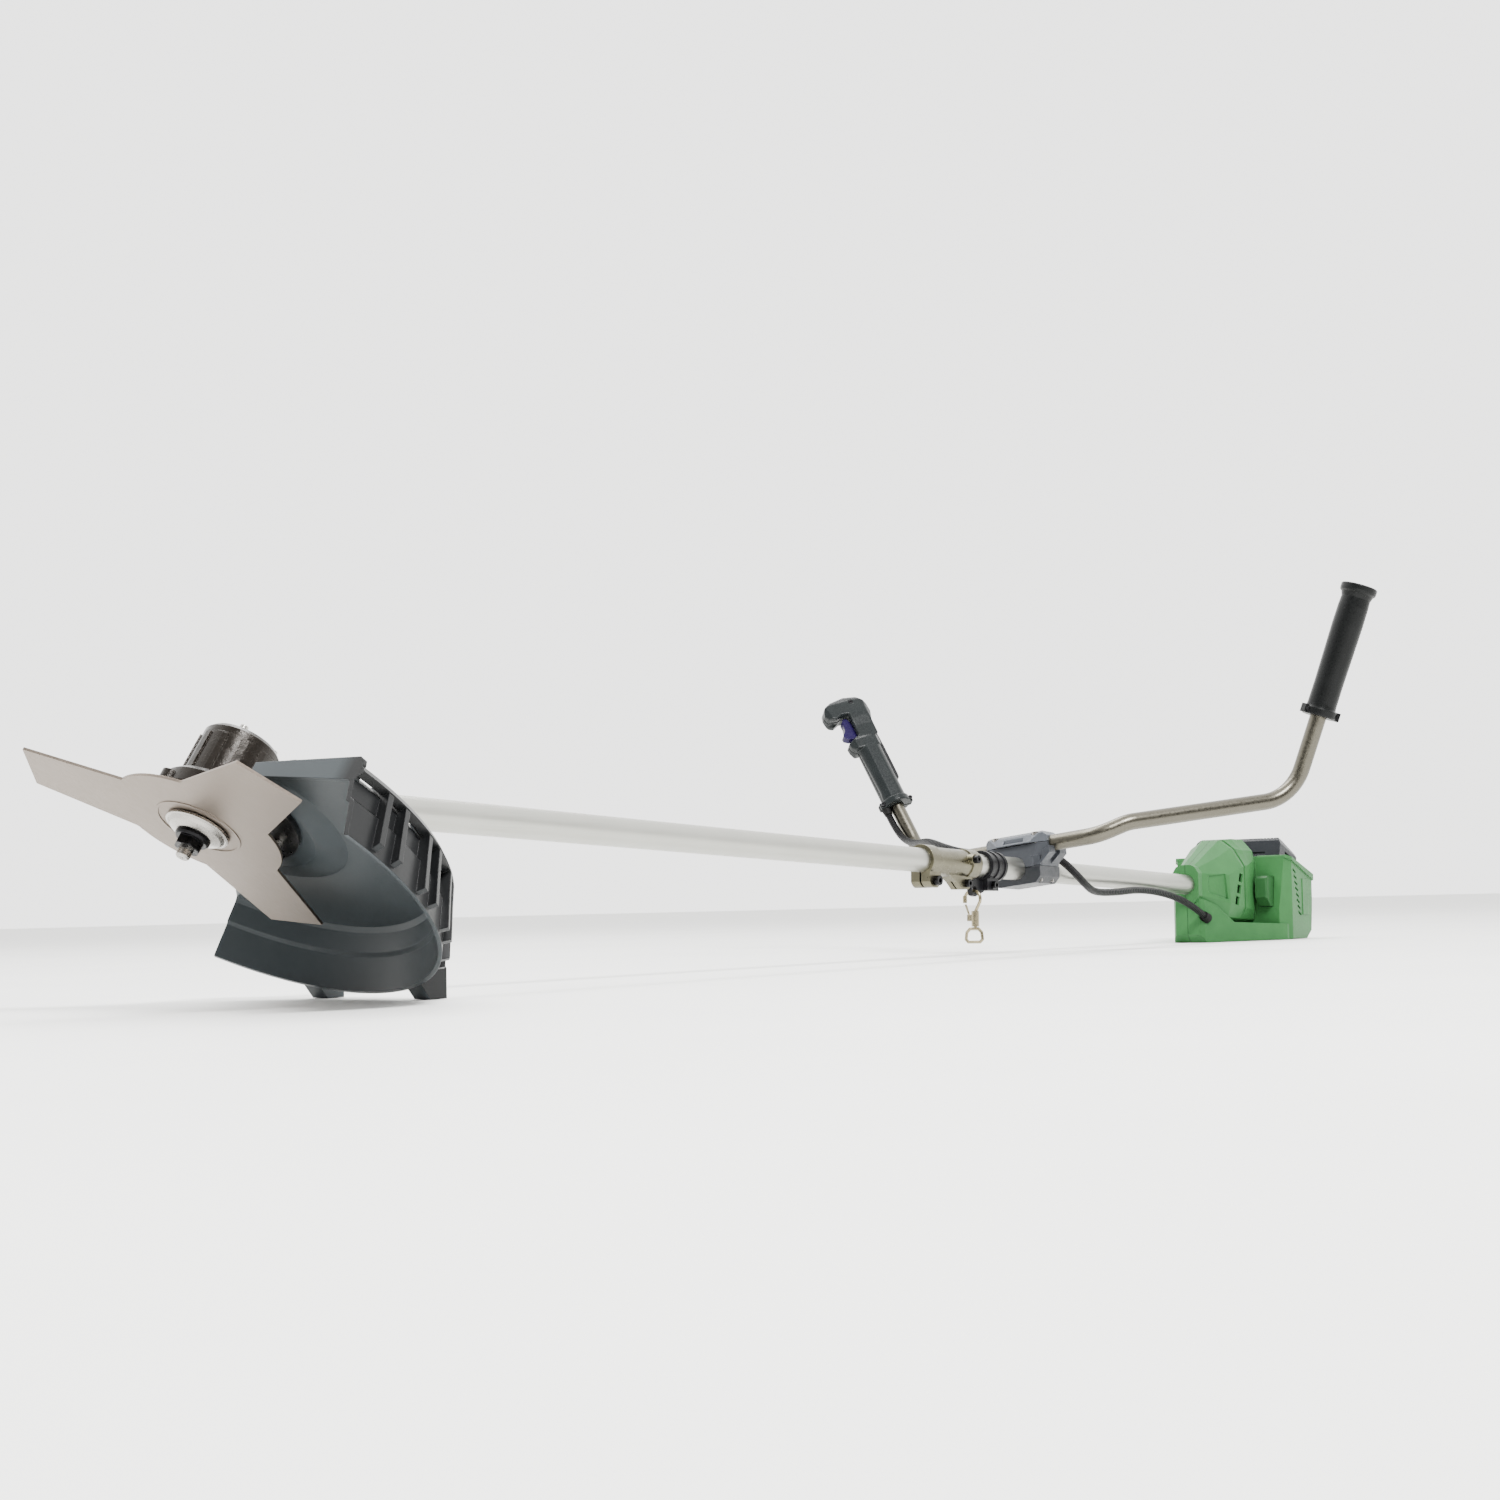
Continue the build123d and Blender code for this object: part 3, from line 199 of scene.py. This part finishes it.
def ribbed_rubber(name, color, ribs):
    """Corrugated conduit: evenly spaced ribs round the line, that many for each unit of its U."""
    graph = Graph(name)
    along = graph.node("ShaderNodeTexCoord").outputs["UV"]
    split = graph.node("ShaderNodeSeparateXYZ")
    graph.link(along, split.inputs["Vector"])
    turn = graph.node("ShaderNodeMath", operation="MULTIPLY")
    graph.link(split.outputs["X"], turn.inputs[0])
    turn.inputs[1].default_value = 2 * math.pi * ribs
    wave = graph.node("ShaderNodeMath", operation="SINE")
    graph.link(turn.outputs[0], wave.inputs[0])
    raised = graph.bump(wave.outputs[0], 0.0004, 0.8)
    cloud = graph.ramp(graph.noise(60, 4, 0.6), 0.3, 0.7)
    base = graph.mix(cloud, shade(color, 0.8), shade(color, 1.3))
    scuffed = graph.ramp(graph.noise(300, 3, 0.5), 0.3, 0.7, 0.36, 0.5)
    graph.set(Base_Color=base, Roughness=scuffed, Normal=raised, Specular_IOR_Level=0.15)
    return graph


GREEN = (0.034, 0.136, 0.041)
# the housing's moulded skin, which the battery release shares
SKIN = {"grain": 1900, "depth": 0.00007, "mottled": 0.06, "edge": 0.22, "edge_radius": 0.0016}
MATERIALS = {
    "blade_steel": brushed_metal("blade_steel", (0.215, 0.18, 0.15), (40, 900, 300), rough=0.4,
                                 rotation=(0, 0.57, 0)),
    "bright_steel": brushed_metal("bright_steel", (0.40, 0.385, 0.36), (900, 900, 900), rough=0.24),
    "dark_steel": cast_metal("dark_steel", (0.016, 0.016, 0.017), rough=0.34),
    "gear_steel": brushed_metal("gear_steel", (0.5, 0.5, 0.5), (500, 500, 500), rough=0.3),
    "bearing_steel": brushed_metal("bearing_steel", (0.6, 0.6, 0.6), (500, 500, 500), rough=0.22),
    "head_casting": cast_metal("head_casting", (0.011, 0.0078, 0.005), rough=0.22, metal=0.5, pits=700,
                               depth=0.0002, edge=0.8),
    "guard_plastic": plastic("guard_plastic", (0.026, 0.032, 0.035), rough=0.33, grain=500,
                             depth=0.000006, mottled=0.04, edge=0.1, edge_radius=0.0008, spread=0.02),
    "black_bracket": cast_metal("black_bracket", (0.004, 0.004, 0.0045), rough=0.32, metal=0.2),
    "tube_aluminium": brushed_metal("tube_aluminium", (0.40, 0.40, 0.365), (9, 700, 700), rough=0.36),
    "bushing_plastic": plastic("bushing_plastic", (0.03, 0.03, 0.03)),
    "cast_aluminium": cast_metal("cast_aluminium", (0.135, 0.125, 0.085), rough=0.32),
    "clamp_black": plastic("clamp_black", (0.006, 0.006, 0.007), rough=0.36),
    "hook_steel": brushed_metal("hook_steel", (0.30, 0.26, 0.17), (700, 700, 700), rough=0.26),
    "bar_aluminium": brushed_metal("bar_aluminium", (0.118, 0.110, 0.088), (300, 300, 300), rough=0.30),
    # one grey casting for the bracket; its dark and light versions are the same grey painted darker and lighter,
    # as painted shade and painted light on those pieces
    "bracket_grey": cast_metal("bracket_grey", (0.040, 0.044, 0.052), rough=0.42, metal=0.35),
    "bracket_dark": cast_metal("bracket_dark", (0.018, 0.020, 0.024), rough=0.42, metal=0.35),
    "bracket_light": cast_metal("bracket_light", (0.075, 0.083, 0.096), rough=0.4, metal=0.35),
    "grip_black": plastic("grip_black", (0.005, 0.0055, 0.0055), rough=0.32, grain=1500, depth=0.0001),
    "grip_grey": plastic("grip_grey", (0.013, 0.0155, 0.016), rough=0.28, grain=1700, depth=0.0001),
    "trigger_violet": plastic("trigger_violet", (0.010, 0.004, 0.045), rough=0.28),
    "lever_black": plastic("lever_black", (0.007, 0.007, 0.008), rough=0.4),
    "switch_black": plastic("switch_black", (0.01, 0.01, 0.01)),
    "gland_rubber": plastic("gland_rubber", (0.006, 0.006, 0.006), rough=0.6),
    "housing_green": plastic("housing_green", GREEN, rough=0.40, **SKIN),
    # the battery release is the housing green darkened, as painted shade for the hood's shadow over it
    "release_dark": plastic("release_dark", shade(GREEN, 0.62), rough=0.42, **SKIN),
    "battery_grey": plastic("battery_grey", (0.012, 0.014, 0.017), rough=0.36, grain=1500, depth=0.0001,
                            mottled=0.1, edge=0.4, edge_radius=0.0016),
    "stator_steel": brushed_metal("stator_steel", (0.35, 0.35, 0.36), (3000, 40, 40), rough=0.4),
    "fan_white": plastic("fan_white", (0.6, 0.6, 0.58)),
    "board_green": plastic("board_green", (0.02, 0.13, 0.05), rough=0.3),
    "cable_black": ribbed_rubber("cable_black", (0.003, 0.003, 0.0035), ribs=240),
}


# makes 0.15 m, the distance from the guard's centre line at which its skirt begins, into about 1
GUARD_SCALE = 6.5
# the guard's centre line lies this far behind the blade's
GUARD_SETBACK = 0.020
# distances from the guard's centre line between which its inside look gives way to the painted shade of its outer
# side
SKIRT_FROM, SKIRT_TO = 0.138, 0.150


def away_from(graph, centre, axis, lift):
    """Vector from a line through the centre, scaled, plus the line's own direction times the lift."""
    offset = graph.node("ShaderNodeVectorMath", operation="SUBTRACT")
    graph.link(graph.place, offset.inputs[0])
    offset.inputs[1].default_value = centre
    along = graph.node("ShaderNodeVectorMath", operation="PROJECT")
    graph.link(offset.outputs["Vector"], along.inputs[0])
    along.inputs[1].default_value = axis
    across = graph.node("ShaderNodeVectorMath", operation="SUBTRACT")
    graph.link(offset.outputs["Vector"], across.inputs[0])
    graph.link(along.outputs["Vector"], across.inputs[1])
    lifted = graph.node("ShaderNodeVectorMath", operation="MULTIPLY_ADD")
    graph.link(across.outputs["Vector"], lifted.inputs[0])
    lifted.inputs[1].default_value = (GUARD_SCALE, GUARD_SCALE, GUARD_SCALE)
    lifted.inputs[2].default_value = axis * lift
    return lifted.outputs["Vector"]


# the guard: satin grey inside its skirt, with painted shade making it nearly black on its outer side, where its
# faces far from the centre line turn away from it
spin = joints["blade_spin"]
spindle_axis = Vector(spin["axis"]).normalized()
if spindle_axis.z < 0:
    spindle_axis = -spindle_axis
backward = Vector((spindle_axis.z, 0, -spindle_axis.x))
guard_centre = Vector(spin["pos_m"]) + backward * GUARD_SETBACK
guard = MATERIALS["guard_plastic"]
outward = guard.node("ShaderNodeVectorMath", operation="DOT_PRODUCT")
guard.link(guard.node("ShaderNodeNewGeometry").outputs["Normal"], outward.inputs[0])
guard.link(away_from(guard, guard_centre, spindle_axis, 1.0), outward.inputs[1])
reach = guard.node("ShaderNodeVectorMath", operation="LENGTH")
guard.link(away_from(guard, guard_centre, spindle_axis, 0.0), reach.inputs[0])
far_out = guard.ramp(reach.outputs["Value"], SKIRT_FROM * GUARD_SCALE, SKIRT_TO * GUARD_SCALE)
# painted shade: a mask of the skirt's outer faces, which get the nearly black colour
outer_painted_shade = guard.node("ShaderNodeMath", operation="MULTIPLY")
guard.link(guard.ramp(outward.outputs["Value"], -0.30, -0.10), outer_painted_shade.inputs[0])
guard.link(far_out, outer_painted_shade.inputs[1])
broad_patches = guard.ramp(guard.noise(7, 1, 0.4), 0.35, 0.65)
inside_color = guard.mix(broad_patches, guard.base, (0.050, 0.060, 0.066))
# the nearly black colour on the outer side is painted shade
guard.set(Base_Color=guard.mix(outer_painted_shade.outputs[0], inside_color, (0.005, 0.0055, 0.006)),
          Specular_IOR_Level=0.25)

# the green housing: a fine dark line where the two shells meet, full up to the inner distance
# from their joint and gone at the outer one
SEAM_INNER, SEAM_OUTER = 0.0002, 0.00045
green = MATERIALS["housing_green"]
place = green.node("ShaderNodeSeparateXYZ")
green.link(green.place, place.inputs["Vector"])
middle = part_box("housing_left_shell")[1].y
apart = green.node("ShaderNodeMath", operation="SUBTRACT")
green.link(place.outputs["Y"], apart.inputs[0])
apart.inputs[1].default_value = middle
away = green.node("ShaderNodeMath", operation="ABSOLUTE")
green.link(apart.outputs[0], away.inputs[0])
seam = green.ramp(away.outputs[0], SEAM_OUTER, SEAM_INNER)
green.set(Base_Color=green.mix(seam, green.base, shade(GREEN, 0.25)))

for name, node in frame["nodes"].items():
    node.data.materials.clear()
    node.data.materials.append(MATERIALS[slot_of[name]].material)

# ---- the camera and the free cable ----
# the camera was solved in the CAD model's own coordinates, where drive_spin is at this point
DRIVE_SPIN_SOLVED = Vector((0.98701, 0, 0.10278))
CAMERA_SOLVED = Vector((-0.82283, -1.09562, 0.06074))
shift = Vector(joints["drive_spin"]["pos_m"]) - DRIVE_SPIN_SOLVED
camera = bpy.data.objects.new("camera", bpy.data.cameras.new("camera"))
bpy.context.collection.objects.link(camera)
camera.data.sensor_width = 36
camera.data.lens = 45.87
camera.data.clip_start, camera.data.clip_end = 0.05, 100
forward = Vector((0.7915, 0.6057, 0.0821)).normalized()
up = Vector((-0.0505, -0.0691, 0.9963))
right = forward.cross(up).normalized()
up = right.cross(forward)
turned_to_view = Matrix((right, up, -forward)).transposed().to_4x4()
camera.matrix_world = Matrix.Translation(shift + CAMERA_SOLVED) @ turned_to_view
bpy.context.scene.camera = camera

# control points of the cable's line, from the gland on the trigger grip to the housing's
CABLE_ROUTE = [
    (0.4664, 0.2720, 0.1791), (0.4639, 0.2595, 0.1588), (0.4530, 0.2377, 0.1427),
    (0.4187, 0.1977, 0.1373), (0.3767, 0.1557, 0.1392), (0.3503, 0.1157, 0.1293),
    (0.3319, 0.0777, 0.1212), (0.3208, 0.0407, 0.1186), (0.3179, 0.0047, 0.1228),
    (0.3249, -0.0293, 0.1225), (0.3363, -0.0523, 0.1089), (0.3506, -0.0643, 0.0913),
    (0.3710, -0.0663, 0.0774), (0.4056, -0.0593, 0.0688), (0.4617, -0.0583, 0.0683),
    (0.5249, -0.0573, 0.0715), (0.5897, -0.0573, 0.0675), (0.6444, -0.0593, 0.0581),
    (0.6839, -0.0603, 0.0463), (0.7105, -0.0603, 0.0361)]
line = bpy.data.curves.new("control_cable_line", "CURVE")
line.dimensions = "3D"
route = line.splines.new("NURBS")
route.points.add(len(CABLE_ROUTE) - 1)
for point, spot in zip(route.points, CABLE_ROUTE):
    point.co = (*spot, 1)
route.order_u = 3
route.use_endpoint_u = True
route.resolution_u = 10
line.bevel_depth = 0.0045
line.bevel_resolution = 5
line.use_fill_caps = True
line.materials.append(MATERIALS["cable_black"].material)
cable = bpy.data.objects.new("control_cable_line", line)
bpy.context.collection.objects.link(cable)
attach(cable, "machine")
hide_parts("control_cable")


# ---- the moulded trigger grip, with its corners rounded ----
# a shell keeps its shape this close to a piece that moves in it, and is free past the band beyond
HELD_GAP = 0.0030
FREEING_BAND = 0.0025


def baked(source):
    """Mesh of an object with its modifiers applied."""
    bpy.context.view_layer.update()
    evaluated = source.evaluated_get(bpy.context.evaluated_depsgraph_get())
    return bpy.data.meshes.new_from_object(evaluated)


def surface_of(name):
    """Search tree of a CAD node's faces."""
    mesh = frame["nodes"][name].data
    spots = [vertex.co for vertex in mesh.vertices]
    return BVHTree.FromPolygons(spots, [list(face.vertices) for face in mesh.polygons])


def softened(name, cell, rounds, movers):
    """Copy of a CAD piece with its corners flowed smooth, except near the pieces that move in it."""
    rough = bpy.data.objects.new(name + "_rough", frame["nodes"][name].data.copy())
    bpy.context.collection.objects.link(rough)
    net = rough.modifiers.new("net", "REMESH")
    net.mode = "VOXEL"
    net.voxel_size = cell
    rough.data = baked(rough)
    rough.modifiers.clear()
    free = rough.vertex_groups.new(name="free")
    surfaces = [surface_of(mover) for mover in movers]
    for vertex in rough.data.vertices:
        gap = min(surface.find_nearest(vertex.co)[3] for surface in surfaces)
        weight = min(1.0, max(0.0, (gap - HELD_GAP) / FREEING_BAND))
        free.add([vertex.index], weight, "REPLACE")
    flow = rough.modifiers.new("flow", "SMOOTH")
    flow.factor = 0.5
    flow.iterations = rounds
    flow.vertex_group = "free"
    shaped = baked(rough)
    bpy.data.objects.remove(rough)
    shaped.materials.clear()
    shaped.materials.append(MATERIALS[slot_of[name]].material)
    for polygon in shaped.polygons:
        polygon.use_smooth = True
    made = bpy.data.objects.new(name + "_moulded", shaped)
    bpy.context.collection.objects.link(made)
    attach(made, "machine")
    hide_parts(name)


for shell in ("trigger_grip_outer_shell", "trigger_grip_inner_shell"):
    softened(shell, cell=0.0008, rounds=14, movers=("throttle_trigger", "lockout_lever"))

# ---- floor and light ----
# the floor lies this far under the machine's lowest faces
FLOOR_DROP = 0.0004
bpy.ops.mesh.primitive_grid_add(x_subdivisions=24, y_subdivisions=24, size=60)
floor = bpy.context.object
floor.name = "floor"
floor.location = (0, 0, -FLOOR_DROP)
ground = Graph("floor_pale")
tint = ground.mix(ground.ramp(ground.noise(3, 3, 0.5), 0.3, 0.7), (0.88, 0.88, 0.86), (0.92, 0.92, 0.90))
ground.set(Base_Color=tint, Roughness=0.62, Normal=ground.bump(ground.noise(260, 3, 0.5), 0.0002, 0.3))
floor.data.materials.append(ground.material)

world = bpy.data.worlds.new("studio")
bpy.context.scene.world = world
world.use_nodes = True
studio = world.node_tree
sky = studio.nodes["Background"]
# a bright sweep behind the machine and above it, a dimmer room on the near side
direction = studio.nodes.new("ShaderNodeTexCoord")
turned = studio.nodes.new("ShaderNodeVectorMath")
turned.operation = "DOT_PRODUCT"
studio.links.new(direction.outputs["Generated"], turned.inputs[0])
turned.inputs[1].default_value = (0.74, 0.57, 0.36)
bright = studio.nodes.new("ShaderNodeMapRange")
bright.interpolation_type = "SMOOTHSTEP"
bright.inputs["From Min"].default_value = -0.55
bright.inputs["From Max"].default_value = 0.55
bright.inputs["To Min"].default_value = 0.32
bright.inputs["To Max"].default_value = 3.0
studio.links.new(turned.outputs["Value"], bright.inputs["Value"])
studio.links.new(bright.outputs["Result"], sky.inputs["Strength"])
sky.inputs["Color"].default_value = (1.0, 0.998, 0.985, 1)


def lamp(name, place, target, size, power):
    """White rectangular area light at a place, turned to a target."""
    data = bpy.data.lights.new(name, "AREA")
    data.shape = "RECTANGLE"
    data.size, data.size_y = size
    data.energy = power
    made = bpy.data.objects.new(name, data)
    made.location = place
    made.rotation_mode = "QUATERNION"
    made.rotation_quaternion = (Vector(target) - Vector(place)).to_track_quat("-Z", "Y")
    bpy.context.collection.objects.link(made)


lamp("key_light", (-1.2, -2.2, 2.8), target=(-0.1, 0, 0.1), size=(1.5, 0.45), power=260)
lamp("top_light", (0.2, 1.4, 3.2), target=(0, 0, 0.1), size=(3.5, 0.8), power=120)

bpy.context.view_layer.update()
